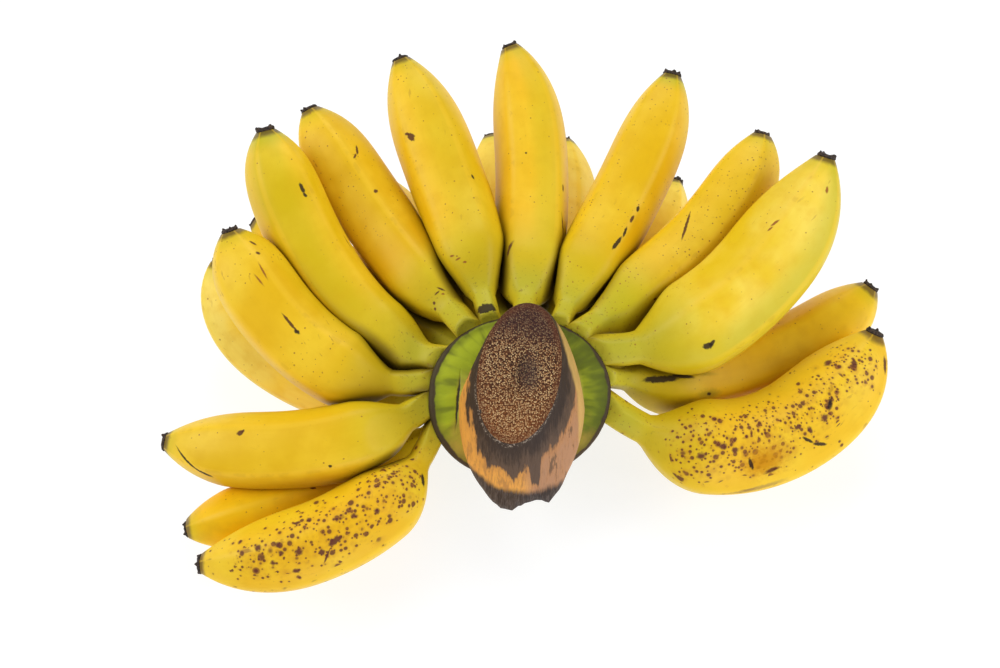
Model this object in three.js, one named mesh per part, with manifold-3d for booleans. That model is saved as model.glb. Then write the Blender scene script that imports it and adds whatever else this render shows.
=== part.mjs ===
// A hand of twenty small dessert bananas on one cut crown, lying on a table.
// Millimetres and degrees, +Z up. The hand is shaped in its own frame, which is then leaned back:
// U runs right, V up the fan of fingers and W out of the cut stalk, from the middle of the crown's rim.
import * as THREE from 'three';
import { mergeVertices } from 'three/addons/utils/BufferGeometryUtils.js';
import Module from 'manifold-3d';

const wasm = await Module();
wasm.setup();

// ---- driving dimensions -------------------------------------------------------------------------
const LEAN = 30; // the rim's plane is tilted this far up from the table
const CROWN_HEIGHT = 51.5; // middle of the rim above the table
const GAP = 0.4; // air between pieces that touch
const LEAST_GAP = 0.3; // and the least that the facets may leave of it

const RIM_HALF_WIDTH = 39;
const RIM_HALF_HEIGHT = 36.5;
const RIM_DEPTH = -3;
const ROOT_FRONT = { depth: -5, spread: 1 }; // stalks leave the crown just behind the rim
const ROOT_BACK = { depth: -20, spread: 0.86 }; // and lower down, where the crown is narrower
const OUT_OF_CROWN = new THREE.Vector3(0, 0, 1);
const ROOT_SINK = 13; // a stalk starts this far inside the crown, which is then cut out of it,
const CROWN_HEART = new THREE.Vector3(0, 0, -14); // on the way to this point

const SWELL = 0.2; // share of a finger's length over which its stalk swells into the body
const TAPER_START = 0.62;
const SHOULDER = 1.2; // how soft the swelling begins
const BLOSSOM_RADIUS = 4.3; // the peel closes to this at the far end
const RIDGES = 5;
const RIDGE_HEIGHT = 0.035; // as a share of the radius

const TIP_LENGTH = 2.6; // dried blossom end
const TIP_RADIUS = 3.7;
const TIP_PROFILE = [1, 1.06, 0.94, 0.6]; // shares of the radius, from the peel outwards
const TIP_RAGGED = [0.9, 1.12];

const FINGER_SIDES = 15; // three to a ridge
const CROWN_SIDES = 30;
const TIP_SIDES = 10;
const SPINE_STEPS = 100;
const NEAREST_STRIDE = 2; // steps of a spine between the balls that a neighbour is tested against
const STALK_RINGS = [0, 0.55, 1]; // shares of the stalk,
const SWELL_RINGS = [0.18, 0.36, 0.62, 0.95]; // of the swelling,
const BODY_RINGS = [0.44, 0.6, 0.71, 0.8, 0.87, 0.92, 0.96, 0.98, 1]; // and of the whole length

// Each finger: name, angle round the rim, [heading, tilt] as it leaves, tip point [U, V, W],
// [heading, tilt] at its tip, girth, how far the leaving heading carries, how blunt its end is, how
// far its first ridge lies right of the side that faces out of the crown, its stalk's length, and
// its stalk's radius as a share of its own.
const FRONT_ROW = [
  ['01', 203, [251, 22], [-134, -72, 14], [182, -5], 34, 0.42, 2.4, 22, 19, 0.3],
  ['02', 187, [216, 27], [-153, -22, -6], [170, -4], 33.5, 0.36, 2.8, 40, 13, 0.38],
  ['03', 172, [193, 0], [-126, 69.5, -8], [109, 10], 36.5, 0.36, 4, 30, 17, 0.33],
  ['04', 157, [174, -26], [-112, 114.5, -18], [104, 10], 33, 0.34, 4.4, 45, 6, 0.38],
  ['05', 128, [134, -52], [-95.5, 127, -44], [117, 0], 33, 0.36, 4, 20, 13, 0.37],
  ['06', 111, [104, -42], [-54, 150, -44], [112, 0], 34.5, 0.36, 2.9, 34, 10, 0.29],
  ['07', 87, [85, -62], [-4, 157, -50], [112, 0], 33, 0.36, 2.8, 40, 4, 0.29],
  ['08', 62, [65, -52], [70, 143, -44], [76, 0], 32, 0.36, 3.2, 25, 7, 0.29],
  ['09', 46, [31, -46], [110, 115, -38], [76, 0], 32.5, 0.36, 3.8, 8, 10, 0.36],
  ['10', 29, [-3, -8], [134, 102, -12], [73, 10], 42, 0.36, 2.4, 47, 17, 0.34],
  ['11', 10, [-12, -52], [160, 46, -42], [54, 8], 32, 0.36, 4.5, 30, 12, 0.29],
  ['12', -11, [-36, -6], [156, 25, -16], [67, 12], 41.5, 0.56, 3.2, 55, 19, 0.32],
];
const BACK_ROW = [
  ['01', 203, [220, -20], [-143.5, -59.5, -5], [190, -2], 30, 0.36, 3.4, 20, 14, 0.29],
  ['02', 180, [201, -34], [-137, 58, -46], [88, 8], 33, 0.38, 3, 20, 14, 0.29],
  ['03', 145, [150, -42], [-124, 78, -72], [142, -10], 32, 0.36, 3, 20, 16, 0.42],
  ['04', 124, [128, -62], [-70, 102, -102], [112, -22], 31, 0.36, 3, 20, 14, 0.29],
  ['05', 100, [102, -56], [-13, 122, -108], [100, -22], 31, 0.36, 3, 20, 14, 0.29],
  ['06', 75, [66, -68], [24, 120, -110], [92, -22], 31, 0.36, 3, 20, 14, 0.29],
  ['07', 53, [43, -56], [77, 99, -100], [72, -22], 31, 0.36, 3, 20, 14, 0.29],
  ['08', 18, [8, -66], [120, 62, -78], [45, -25], 31, 0.36, 3, 20, 14, 0.29],
];
const TIP_HOLD = 0.36; // how far back the heading at the tip carries

// Crown cushion: rings from its hidden back to its green face, as [W, half width, half height].
const CUSHION_RINGS = [
  [-34, 9, 8],
  [-31, 20, 18],
  [-23, 30, 27],
  [-12, 36.5, 34],
  [RIM_DEPTH, RIM_HALF_WIDTH, RIM_HALF_HEIGHT],
  [1, 38, 35.5],
  [3.5, 35, 32.5],
  [5, 24, 22],
];
const CUSHION_TOP = 0.88; // the upper half is this much lower, where the middle fingers press on it
const CUSHION_BULGE = 0.13; // and the lower left stands out by half this share
// Stub of the stalk: lopsided rings, as [W, lowest V, highest V, half width, middle U, lean, and how
// much of the half width is lost towards the top on the left and on the right].
const STUB_RINGS = [
  [-9, -42, 30, 20, 0.7, 2, 0.5, 0.2],
  [-5, -45.5, 33, 24, 0.7, 3, 0.5, 0.2],
  [7, -49, 37, 26.8, 0.7, 3, 0.5, 0.2],
  [15, -42.5, 38, 25.4, 0.3, 5, 0.42, 0.18],
  [25, -30, 38, 21.2, -0.2, 8, 0.2, 0.1],
  [33, -19.4, 37.7, 16.4, -0.7, 10, 0, 0],
];
const TORN_RINGS = 4; // the stub's lower end is torn, not cut: these rings of it,
const TORN_FROM = 0.8; // below this share of their half height,
const TORN_DEPTH = 1.2; // by this much at random,
const TORN_LOBES = [[-8, 1.8], [14, 2.2], [3, -1.6]]; // and in lobes, as [U, reach]
const TORN_LOBE_WIDTH = 7;

const PEEL = { color: 0xe3bd2f, roughness: 0.5, metalness: 0 };
const RIPE_PEEL = { color: 0xdcab2c, roughness: 0.55, metalness: 0 };
const DRY_TIP = { color: 0x2e241d, roughness: 0.9, metalness: 0 };
const CROWN_SKIN = { color: 0x86993a, roughness: 0.65, metalness: 0 };
const SPOTTED = ['front_01', 'front_12'];

const TABLE = { size: 600, thickness: 60 }; // a slab under the hand, wider than all of it

// ---- helpers ------------------------------------------------------------------------------------
const radians = THREE.MathUtils.degToRad;
const rand = mulberry(20);

function mulberry(seed) {
  let state = seed;
  return () => {
    state = (state + 0x6d2b79f5) | 0;
    let t = Math.imul(state ^ (state >>> 15), 1 | state);
    t = (t + Math.imul(t ^ (t >>> 7), 61 | t)) ^ t;
    return ((t ^ (t >>> 14)) >>> 0) / 4294967296;
  };
}

function heading([angle, tilt]) {
  const flat = Math.cos(radians(tilt));
  return new THREE.Vector3(
    Math.cos(radians(angle)) * flat,
    Math.sin(radians(angle)) * flat,
    Math.sin(radians(tilt)),
  );
}

// A capped cylinder of unit size whose rings and sides place(ring, turn, share) then moves:
// turn is the angle round it, share 0 at the middle of a cap and 1 on the skin.
function loft(rings, sides, place) {
  const cylinder = new THREE.CylinderGeometry(1, 1, 1, sides, rings - 1);
  cylinder.deleteAttribute('normal');
  cylinder.deleteAttribute('uv');
  const geometry = mergeVertices(cylinder);
  const position = geometry.attributes.position;
  for (let i = 0; i < position.count; i += 1) {
    const ring = Math.round((position.getY(i) + 0.5) * (rings - 1));
    const turn = Math.atan2(position.getX(i), position.getZ(i));
    const share = Math.hypot(position.getX(i), position.getZ(i)) > 0.5 ? 1 : 0;
    const point = place(ring, turn, share);
    position.setXYZ(i, point.x, point.y, point.z);
  }
  return geometry;
}

function sideAt(turn, sides) {
  return Math.round((turn / (2 * Math.PI)) * sides + sides) % sides;
}

function solidOf(geometry) {
  const mesh = new wasm.Mesh({
    numProp: 3,
    vertProperties: new Float32Array(geometry.attributes.position.array),
    triVerts: new Uint32Array(geometry.index.array),
  });
  return new wasm.Manifold(mesh);
}

// A cut can leave a loose scrap, which is dropped.
function largest(solid) {
  return solid.decompose().sort((a, b) => b.volume() - a.volume())[0];
}

function geometryOf(solid) {
  const mesh = solid.getMesh();
  const geometry = new THREE.BufferGeometry();
  geometry.setAttribute('position', new THREE.BufferAttribute(mesh.vertProperties, 3));
  geometry.setIndex(new THREE.BufferAttribute(mesh.triVerts, 1));
  return geometry;
}

function meshOf(name, geometry, look) {
  const mesh = new THREE.Mesh(geometry, new THREE.MeshStandardMaterial(look));
  mesh.name = name;
  return mesh;
}

// ---- fingers ------------------------------------------------------------------------------------
function fingerRadius(share, stalkEnd, thin, girth, blunt) {
  const full = girth / 2;
  const past = THREE.MathUtils.clamp((share - stalkEnd) / SWELL, 0, 1);
  const swell = 1 - (1 - past ** SHOULDER) ** 2;
  const taper = Math.max(0, (share - TAPER_START) / (1 - TAPER_START)) ** blunt;
  return THREE.MathUtils.lerp(thin, 1, swell) * full * (1 - (1 - BLOSSOM_RADIUS / full) * taper);
}

function fingerSpine(row, rootPlace) {
  const [number, rim, leave, tipPoint, arrive, girth, carry, blunt, ridge, stalk, thin] = row;
  const root = new THREE.Vector3(
    Math.cos(radians(rim)) * RIM_HALF_WIDTH * rootPlace.spread,
    Math.sin(radians(rim)) * RIM_HALF_HEIGHT * rootPlace.spread,
    rootPlace.depth,
  );
  const tip = new THREE.Vector3(...tipPoint);
  const reach = root.distanceTo(tip);
  const curve = new THREE.CubicBezierCurve3(
    root,
    root.clone().addScaledVector(heading(leave), reach * carry),
    tip.clone().addScaledVector(heading(arrive), -reach * TIP_HOLD),
    tip,
  );
  const points = curve.getSpacedPoints(SPINE_STEPS);
  const stalkEnd = stalk / curve.getLength();
  const radii = points.map((_, i) => fingerRadius(i / SPINE_STEPS, stalkEnd, thin, girth, blunt));
  const courses = points.map((_, i) => curve.getTangentAt(i / SPINE_STEPS));
  const rings = [
    ...STALK_RINGS.map((share) => share * stalkEnd),
    ...SWELL_RINGS.map((share) => stalkEnd + share * SWELL),
    ...BODY_RINGS,
  ];
  return { number, points, radii, courses, rings, ridge: radians(ridge) };
}

// The point of a ring at an angle from the side that faces out of the crown, to the right.
function ringPoint(spine, step, angle, radius) {
  const course = spine.courses[step];
  const outward = OUT_OF_CROWN.clone().projectOnPlane(course).normalize();
  const right = course.clone().cross(outward);
  const point = spine.points[step].clone();
  point.addScaledVector(outward, Math.cos(angle) * radius);
  return point.addScaledVector(right, Math.sin(angle) * radius);
}

// The nearest ball of a spine to a point, measured from its skin.
function nearestBall(spine, point) {
  let best = 0;
  let least = Infinity;
  for (let i = 0; i <= SPINE_STEPS; i += NEAREST_STRIDE) {
    const distance = spine.points[i].distanceTo(point) - spine.radii[i];
    if (distance < least) {
      least = distance;
      best = i;
    }
  }
  return { centre: spine.points[best], radius: spine.radii[best] };
}

// Fingers that touch are pressed flat against each other: a point that would enter a neighbour is
// drawn back towards its own spine, to the plane where the two skins cross, less half the gap.
function pressed(point, centre, radius, neighbours, grow) {
  const out = point.clone().sub(centre);
  let keep = 1;
  for (const neighbour of neighbours) {
    const ball = nearestBall(neighbour, point);
    const apart = ball.centre.clone().sub(centre);
    const distance = apart.length();
    const plane = (distance ** 2 + radius ** 2 - ball.radius ** 2) / 2 - (distance * GAP) / 2;
    const along = out.dot(apart);
    if (plane > 0 && along > plane) {
      keep = Math.min(keep, plane / along);
    }
  }
  return centre.clone().addScaledVector(out, keep + grow / radius);
}

function fingerSolid(spine, neighbours, grow) {
  const geometry = loft(spine.rings.length, FINGER_SIDES, (ring, turn, share) => {
    const step = Math.round(spine.rings[ring] * SPINE_STEPS);
    const centre = spine.points[step];
    const radius = share * spine.radii[step] * (1 + RIDGE_HEIGHT * Math.cos(RIDGES * turn));
    const angle = spine.ridge + turn;
    if (ring === 0) {
      const sink = CROWN_HEART.clone().sub(centre).setLength(ROOT_SINK);
      return ringPoint(spine, step, angle, radius + share * grow).add(sink);
    }
    const point = ringPoint(spine, step, angle, radius);
    return share > 0 ? pressed(point, centre, radius, neighbours, grow) : point;
  });
  return solidOf(geometry);
}

function tipGeometry(spine) {
  const ragged = Array.from({ length: TIP_SIDES }, () => THREE.MathUtils.lerp(...TIP_RAGGED, rand()));
  return loft(TIP_PROFILE.length, TIP_SIDES, (ring, turn, share) => {
    const radius = share * TIP_RADIUS * TIP_PROFILE[ring] * (ring > 0 ? ragged[sideAt(turn, TIP_SIDES)] : 1);
    const point = ringPoint(spine, SPINE_STEPS, turn, radius);
    const beyond = GAP + (TIP_LENGTH * ring) / (TIP_PROFILE.length - 1);
    return point.addScaledVector(spine.courses[SPINE_STEPS], beyond);
  });
}

// ---- crown --------------------------------------------------------------------------------------
function cushion(grow) {
  const geometry = loft(CUSHION_RINGS.length, CROWN_SIDES, (ring, turn, share) => {
    const [depth, halfWidth, halfHeight] = CUSHION_RINGS[ring];
    const up = Math.cos(turn) * share;
    const out = Math.sign(depth - RIM_DEPTH) * grow;
    const bulge = 1 + CUSHION_BULGE * Math.max(0, Math.sin(turn)) * Math.max(0, -up);
    return new THREE.Vector3(
      -Math.sin(turn) * share * (halfWidth * bulge + grow),
      up * (halfHeight * (up > 0 ? CUSHION_TOP : bulge) + grow),
      depth + out,
    );
  });
  return solidOf(geometry);
}

// How far the stub's torn end reaches down at a place across it.
function tornReach(across) {
  return TORN_LOBES.reduce((reach, [middle, lobe]) => {
    const near = Math.max(0, 1 - Math.abs(across - middle) / TORN_LOBE_WIDTH);
    return reach + lobe * near * near * (3 - 2 * near);
  }, 0);
}

function stub(grow, torn) {
  const geometry = loft(STUB_RINGS.length, CROWN_SIDES, (ring, turn, share) => {
    const [depth, low, high, halfWidth, middle, lean, left, right] = STUB_RINGS[ring];
    const up = Math.cos(turn) * share;
    const narrow = 1 - (turn > 0 ? left : right) * Math.max(0, up);
    const point = new THREE.Vector3(
      -Math.sin(turn) * share * (halfWidth * narrow + grow),
      up * ((high - low) / 2 + grow),
      depth + Math.sign(depth) * grow,
    );
    point.applyAxisAngle(new THREE.Vector3(0, 0, 1), -radians(lean));
    point.x += middle;
    point.y += (low + high) / 2;
    if (up < -TORN_FROM && ring < TORN_RINGS) {
      point.y -= tornReach(point.x) - torn[sideAt(turn, CROWN_SIDES)] * TORN_DEPTH;
    }
    return point;
  });
  return solidOf(geometry);
}

// ---- the hand -----------------------------------------------------------------------------------
const hand = new THREE.Group();
hand.rotation.x = radians(LEAN);
hand.position.z = CROWN_HEIGHT;
hand.updateMatrix();

// The table takes a small flat off the bellies that rest on it.
function tableSlab() {
  const slab = new THREE.BoxGeometry(TABLE.size, TABLE.size, TABLE.thickness);
  slab.translate(0, 0, -TABLE.thickness / 2);
  slab.applyMatrix4(hand.matrix.clone().invert());
  slab.deleteAttribute('normal');
  slab.deleteAttribute('uv');
  return solidOf(mergeVertices(slab));
}

const torn = Array.from({ length: CROWN_SIDES }, () => rand());
const crown = cushion(0).add(stub(0, torn));
const crownRoom = cushion(GAP).add(stub(GAP, torn));
hand.add(meshOf('crown', geometryOf(crown), CROWN_SKIN));

const spines = [
  ...FRONT_ROW.map((row) => ({ place: 'front', ...fingerSpine(row, ROOT_FRONT) })),
  ...BACK_ROW.map((row) => ({ place: 'back', ...fingerSpine(row, ROOT_BACK) })),
];
const slab = tableSlab();
const placed = [];
for (const spine of spines) {
  const name = `${spine.place}_${spine.number}`;
  const neighbours = spines.filter((other) => other !== spine);
  let finger = fingerSolid(spine, neighbours, 0).subtract(crownRoom).subtract(slab);
  for (const earlier of placed) {
    if (finger.minGap(earlier.finger, GAP) < LEAST_GAP) {
      finger = finger.subtract(earlier.room);
    }
  }
  finger = largest(finger);
  placed.push({ finger, room: fingerSolid(spine, neighbours, GAP) });
  const look = SPOTTED.includes(name) ? RIPE_PEEL : PEEL;
  hand.add(meshOf(`finger_${name}`, geometryOf(finger), look));
  hand.add(meshOf(`tip_${name}`, tipGeometry(spine), DRY_TIP));
}

// The origin is on the table, under the middle of the whole hand.
const part = new THREE.Group();
part.add(hand);
part.updateMatrixWorld(true);
const middle = new THREE.Box3().setFromObject(part, true).getCenter(new THREE.Vector3());
hand.position.x -= middle.x;
hand.position.y -= middle.y;

export default part;
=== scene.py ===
import math
import random

import bmesh
import bpy
import numpy as np
from mathutils import Matrix, Vector
from mathutils.geometry import interpolate_bezier


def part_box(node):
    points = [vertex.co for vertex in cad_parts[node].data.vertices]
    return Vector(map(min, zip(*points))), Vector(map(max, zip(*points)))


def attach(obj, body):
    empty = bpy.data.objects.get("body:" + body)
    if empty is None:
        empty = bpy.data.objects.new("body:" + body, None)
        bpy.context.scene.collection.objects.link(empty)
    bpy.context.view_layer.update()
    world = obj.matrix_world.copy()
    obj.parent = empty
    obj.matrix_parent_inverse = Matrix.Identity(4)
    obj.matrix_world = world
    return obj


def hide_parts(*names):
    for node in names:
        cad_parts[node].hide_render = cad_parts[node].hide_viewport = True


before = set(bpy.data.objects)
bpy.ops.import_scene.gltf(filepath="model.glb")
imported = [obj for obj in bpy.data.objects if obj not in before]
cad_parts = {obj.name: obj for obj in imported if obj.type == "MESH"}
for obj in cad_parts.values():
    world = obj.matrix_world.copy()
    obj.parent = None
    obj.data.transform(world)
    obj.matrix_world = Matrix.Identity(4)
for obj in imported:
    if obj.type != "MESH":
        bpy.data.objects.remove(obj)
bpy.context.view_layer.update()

MM = 0.001

# ---- the hand's own frame ---------------------------------------------------
# U runs right, V up the fan of fingers and W out of the cut stalk.
LEAN = math.radians(30)
CROWN_BACK = (23.76 * MM, -23 * MM)  # V and W of the crown's furthest point back
CROWN_TOP = (37.27 * MM, 33 * MM)  # V and W of its highest point, the top of the cut


def hand_frame():
    """Where the hand's frame stands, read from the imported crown's box."""
    low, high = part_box("crown")
    turn = Matrix.Rotation(LEAN, 4, "X")
    back = turn @ Vector((0, *CROWN_BACK))
    top = turn @ Vector((0, *CROWN_TOP))
    place = Vector(((low[0] + high[0]) / 2, high[1] - back.y, high[2] - top.z))
    return Matrix.Translation(place) @ turn


HAND = hand_frame()
OUT_OF_CROWN = np.array(HAND.to_3x3() @ Vector((0, 0, 1)))

# ---- camera ------------------------------------------------------------------
VIEW_WIDTH, VIEW_HEIGHT = 1000, 668
SENSOR, LENS = 36.0, 58.6
VIEW_FROM = Vector((-8.6 * MM, 24.9 * MM, 700 * MM))  # in the hand's frame


def make_camera():
    lens = bpy.data.cameras.new("camera")
    lens.lens, lens.sensor_width = LENS, SENSOR
    camera = bpy.data.objects.new("camera", lens)
    bpy.context.collection.objects.link(camera)
    camera.matrix_world = HAND @ Matrix.Translation(VIEW_FROM)
    bpy.context.scene.camera = camera
    return camera


camera = make_camera()

# ---- sizes of the fruit ------------------------------------------------------
RIM_HALF_WIDTH, RIM_HALF_HEIGHT = 39 * MM, 36.5 * MM
CUSHION_TOP = 0.88  # the crown's upper half is this much lower than its lower half
FRONT_ROOT = {"depth": -5 * MM, "spread": 1.0}
BACK_ROOT = {"depth": -20 * MM, "spread": 0.86}
TIP_HOLD = 0.36  # how far back the heading at the tip carries, as a share of the reach
SWELL, TAPER_START = 0.2, 0.62  # shares of a finger's length
SHOULDER = 1.2  # how soft the swelling begins
BLOSSOM_RADIUS = 4.3 * MM
ROOT_INSIDE = 0.07  # share of the length that runs on into the crown
RIDGES = 5
RIDGE_SHARPNESS, RIDGE_SHARE = 12, 0.55  # how narrow a ridge is, and how much it stands out
FINGER_SIDES, FINGER_RINGS = 60, 60
SPINE_POINTS = 97
PRESS_GAP = 0.2 * MM
PRESS_SOFTNESS = 0.08  # how round the edge of a flattened place is, as a share
OPEN = 9  # stands for a neighbour that is too far away to press
SPINE_STRIDE = 2  # every second point of a neighbour's middle line is tested
CREASE_WIDTH = 12 * MM  # painted shade darkens a crease between two fingers from this width inwards
# Roots stay this far behind the crown's face. Outside a ring round it the limit rises.
TUCK_DEPTH, TUCK_RISE, TUCK_RING = -1.2 * MM, 28 * MM, 1.01
SAME_HEIGHT, SAME_SHARE = 1e-5, 1e-4  # how close two count as the same ring
CURVE_STEPS = 64  # how finely a finger follows its middle line
SORTING_LINE = Vector((1, 0.37, 0.61))  # no two vertices of a dried tip are level along it

# Each finger: angle round the rim, (heading, tilt) as it leaves, tip point (U, V, W) in mm,
# (heading, tilt) at its tip, girth in mm, how far the leaving heading carries, how blunt its
# end is, how many degrees its first ridge lies right of the side that faces out, its stalk's
# length in mm, and its stalk's radius as a share of its own.
FRONT_ROW = {
    "front_01": (203, (251, 22), (-134, -72, 14), (182, -5), 34, 0.42, 2.4, 22, 19, 0.30),
    "front_02": (187, (216, 27), (-153, -22, -6), (170, -4), 33.5, 0.36, 2.8, 40, 13, 0.38),
    "front_03": (172, (193, 0), (-126, 69.5, -8), (109, 10), 36.5, 0.36, 4.0, 30, 17, 0.33),
    "front_04": (157, (174, -26), (-112, 114.5, -18), (104, 10), 33, 0.34, 4.4, 45, 6, 0.38),
    "front_05": (128, (134, -52), (-95.5, 127, -44), (117, 0), 33, 0.36, 4.0, 20, 13, 0.37),
    "front_06": (111, (104, -42), (-54, 150, -44), (112, 0), 34.5, 0.36, 2.9, 34, 10, 0.29),
    "front_07": (87, (85, -62), (-4, 157, -50), (112, 0), 33, 0.36, 2.8, 40, 4, 0.29),
    "front_08": (62, (65, -52), (70, 143, -44), (76, 0), 32, 0.36, 3.2, 25, 7, 0.29),
    "front_09": (46, (31, -46), (110, 115, -38), (76, 0), 32.5, 0.36, 3.8, 8, 10, 0.36),
    "front_10": (29, (-3, -8), (134, 102, -12), (73, 10), 42, 0.36, 2.4, 47, 17, 0.34),
    "front_11": (10, (-12, -52), (160, 46, -42), (54, 8), 32, 0.36, 4.5, 30, 12, 0.29),
    "front_12": (-11, (-36, -6), (156, 25, -16), (67, 12), 41.5, 0.56, 3.2, 55, 19, 0.32),
}
BACK_ROW = {
    "back_01": (203, (220, -20), (-143.5, -59.5, -5), (190, -2), 30, 0.36, 3.4, 20, 14, 0.29),
    "back_02": (180, (201, -34), (-137, 58, -46), (88, 8), 33, 0.38, 3.0, 20, 14, 0.29),
    "back_03": (145, (150, -42), (-124, 78, -72), (142, -10), 32, 0.36, 3.0, 20, 16, 0.42),
    "back_04": (124, (128, -62), (-70, 102, -102), (112, -22), 31, 0.36, 3.0, 20, 14, 0.29),
    "back_05": (100, (102, -56), (-13, 122, -108), (100, -22), 31, 0.36, 3.0, 20, 14, 0.29),
    "back_06": (75, (66, -68), (24, 120, -110), (92, -22), 31, 0.36, 3.0, 20, 14, 0.29),
    "back_07": (53, (43, -56), (77, 99, -100), (72, -22), 31, 0.36, 3.0, 20, 14, 0.29),
    "back_08": (18, (8, -66), (120, 62, -78), (45, -25), 31, 0.36, 3.0, 20, 14, 0.29),
}


# ---- modelling by hand -------------------------------------------------------
def deselect():
    bpy.ops.object.select_all(action="DESELECT")


def take(thing):
    """Makes one object the only one selected, and the one that is worked on."""
    deselect()
    thing.select_set(True)
    bpy.context.view_layer.objects.active = thing


def open_mesh():
    """Goes into edit mode with everything selected."""
    bpy.ops.object.mode_set(mode="EDIT")
    bpy.ops.mesh.select_all(action="SELECT")


def close_mesh():
    bpy.ops.object.mode_set(mode="OBJECT")


def roughen(depth, seed):
    """Moves what is selected a little, each vertex its own way."""
    bpy.ops.transform.vertex_random(offset=depth, seed=seed)


def pick(test):
    """In edit mode, selects only the vertices that pass the test."""
    shape = bmesh.from_edit_mesh(bpy.context.object.data)
    for part in (shape.faces, shape.edges, shape.verts):
        for item in part:
            item.select = False
    for vertex in shape.verts:
        vertex.select = bool(test(vertex.co))
    shape.select_flush(True)
    bmesh.update_edit_mesh(bpy.context.object.data)


def put_in_order(piece):
    """In edit mode, sorts the vertices along a slanting line. An extruded region leaves them in an
    order that is not the same each time, and a seeded step would then move other ones."""
    shape = bmesh.from_edit_mesh(piece.data)
    shape.verts.sort(key=lambda vertex: vertex.co.dot(SORTING_LINE))
    bmesh.update_edit_mesh(piece.data)


def cap():
    """Closes the selected loop with a fan of faces."""
    bpy.ops.mesh.extrude_region_move()
    bpy.ops.mesh.merge(type="CENTER")


def draw_closed(name, sides, rings):
    """Adds a circle, draws it out through rings of (Z, half width, half height, middle Y), and
    closes both ends."""
    first, width, tall, middle = last = rings[0]
    deselect()
    bpy.ops.mesh.primitive_circle_add(vertices=sides, radius=1, location=(0, 0, 0))
    drawn = bpy.context.object
    drawn.name = name
    open_mesh()
    bpy.ops.transform.resize(value=(width, tall, 1), center_override=(0, 0, 0))
    bpy.ops.transform.translate(value=(0, middle, first))
    for ring in rings[1:]:
        height, width, tall, middle = ring
        step = (0, middle - last[3], height - last[0])
        bpy.ops.mesh.extrude_region_move(TRANSFORM_OT_translate={"value": step})
        grown = (width / last[1], tall / last[2], 1)
        bpy.ops.transform.resize(value=grown, center_override=(0, middle, height))
        last = ring
    cap()
    pick(lambda co: abs(co.z - first) < SAME_HEIGHT)
    cap()
    bpy.ops.mesh.select_all(action="SELECT")
    bpy.ops.mesh.normals_make_consistent(inside=False)
    close_mesh()
    return drawn


def copy_of(master, name):
    piece = master.copy()
    piece.data = master.data.copy()
    piece.name = piece.data.name = name
    bpy.context.collection.objects.link(piece)
    return piece


def points_of(piece):
    count = len(piece.data.vertices)
    points = np.empty(count * 3)
    piece.data.vertices.foreach_get("co", points)
    return points.reshape(count, 3)


def put_points(piece, points):
    piece.data.vertices.foreach_set("co", points.ravel())
    piece.data.update()


# ---- fingers -----------------------------------------------------------------
def radius_at(share, build):
    """A finger's radius: a thin neck, a full body, and a taper to its blossom end."""
    full, thin = build["girth"] / 2, build["thin"]
    swell = min(max((share - build["stalk_end"]) / SWELL, 0), 1)
    swell = 1 - (1 - swell**SHOULDER) ** 2
    past = max(0, (share - TAPER_START) / (1 - TAPER_START)) ** build["blunt"]
    return full * (thin + (1 - thin) * swell) * (1 - (1 - BLOSSOM_RADIUS / full) * past)


RING_SHARES = [
    (1 + ROOT_INSIDE) * ring / FINGER_RINGS - ROOT_INSIDE for ring in range(FINGER_RINGS + 1)
]


def model_straight_finger():
    """A straight tube of length and radius 1, up +Z, that each finger is drawn out of."""
    rings = [(share, 1, 1, 0) for share in RING_SHARES]
    return draw_closed("straight_finger", FINGER_SIDES, rings)


def heading(angle, tilt):
    angle, tilt = math.radians(angle), math.radians(tilt)
    level = math.cos(tilt)
    return Vector((math.cos(angle) * level, math.sin(angle) * level, math.sin(tilt)))


def spine_of(row, root):
    """The middle line of a finger, from its root on the rim to its tip, in the world."""
    rim, leave, tip, arrive, girth, carry, blunt, ridge, stalk, thin = row
    angle = math.radians(rim)
    start = Vector((
        math.cos(angle) * RIM_HALF_WIDTH * root["spread"],
        math.sin(angle) * RIM_HALF_HEIGHT * root["spread"],
        root["depth"],
    ))
    end = Vector(tip) * MM
    reach = (end - start).length
    handles = (
        start,
        start + heading(*leave) * reach * carry,
        end - heading(*arrive) * reach * TIP_HOLD,
        end,
    )
    handles = [HAND @ handle for handle in handles]
    points = np.array(interpolate_bezier(*handles, SPINE_POINTS))
    steps = np.linalg.norm(np.diff(points, axis=0), axis=1)
    along = np.concatenate([[0], np.cumsum(steps)])
    course = np.gradient(points, along, axis=0)
    length = along[-1]
    build = {"stalk_end": stalk * MM / length, "thin": thin, "girth": girth * MM, "blunt": blunt}
    return {
        **build,
        "handles": handles,
        "points": points,
        "course": course / np.linalg.norm(course, axis=1)[:, None],
        "along": along,
        "length": length,
        "radii": np.array([radius_at(share, build) for share in along / length]),
        "ridge": math.radians(ridge),
    }


def spine_curve(spine):
    deselect()
    bpy.ops.curve.primitive_bezier_curve_add(location=(0, 0, 0))
    curve = bpy.context.object
    curve.data.resolution_u = CURVE_STEPS
    curve.data.twist_mode = "MINIMUM"
    first, last = curve.data.splines[0].bezier_points
    start, leave, arrive, end = spine["handles"]
    for point in (first, last):
        point.handle_left_type = point.handle_right_type = "FREE"
    first.co, first.handle_left, first.handle_right = start, start * 2 - leave, leave
    last.co, last.handle_left, last.handle_right = end, arrive, end * 2 - arrive
    return curve


def size_finger(finger, spine):
    """Gives a copy of the straight tube its finger's length, and each ring its radius."""
    length = spine["length"]
    take(finger)
    open_mesh()
    bpy.ops.transform.resize(value=(1, 1, length), center_override=(0, 0, 0))
    for share in RING_SHARES:
        radius = radius_at(share, spine)
        pick(lambda co: abs(co.z / length - share) < SAME_SHARE)
        middle = (0, 0, share * length)
        bpy.ops.transform.resize(value=(radius, radius, 1), center_override=middle)
    close_mesh()


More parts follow.
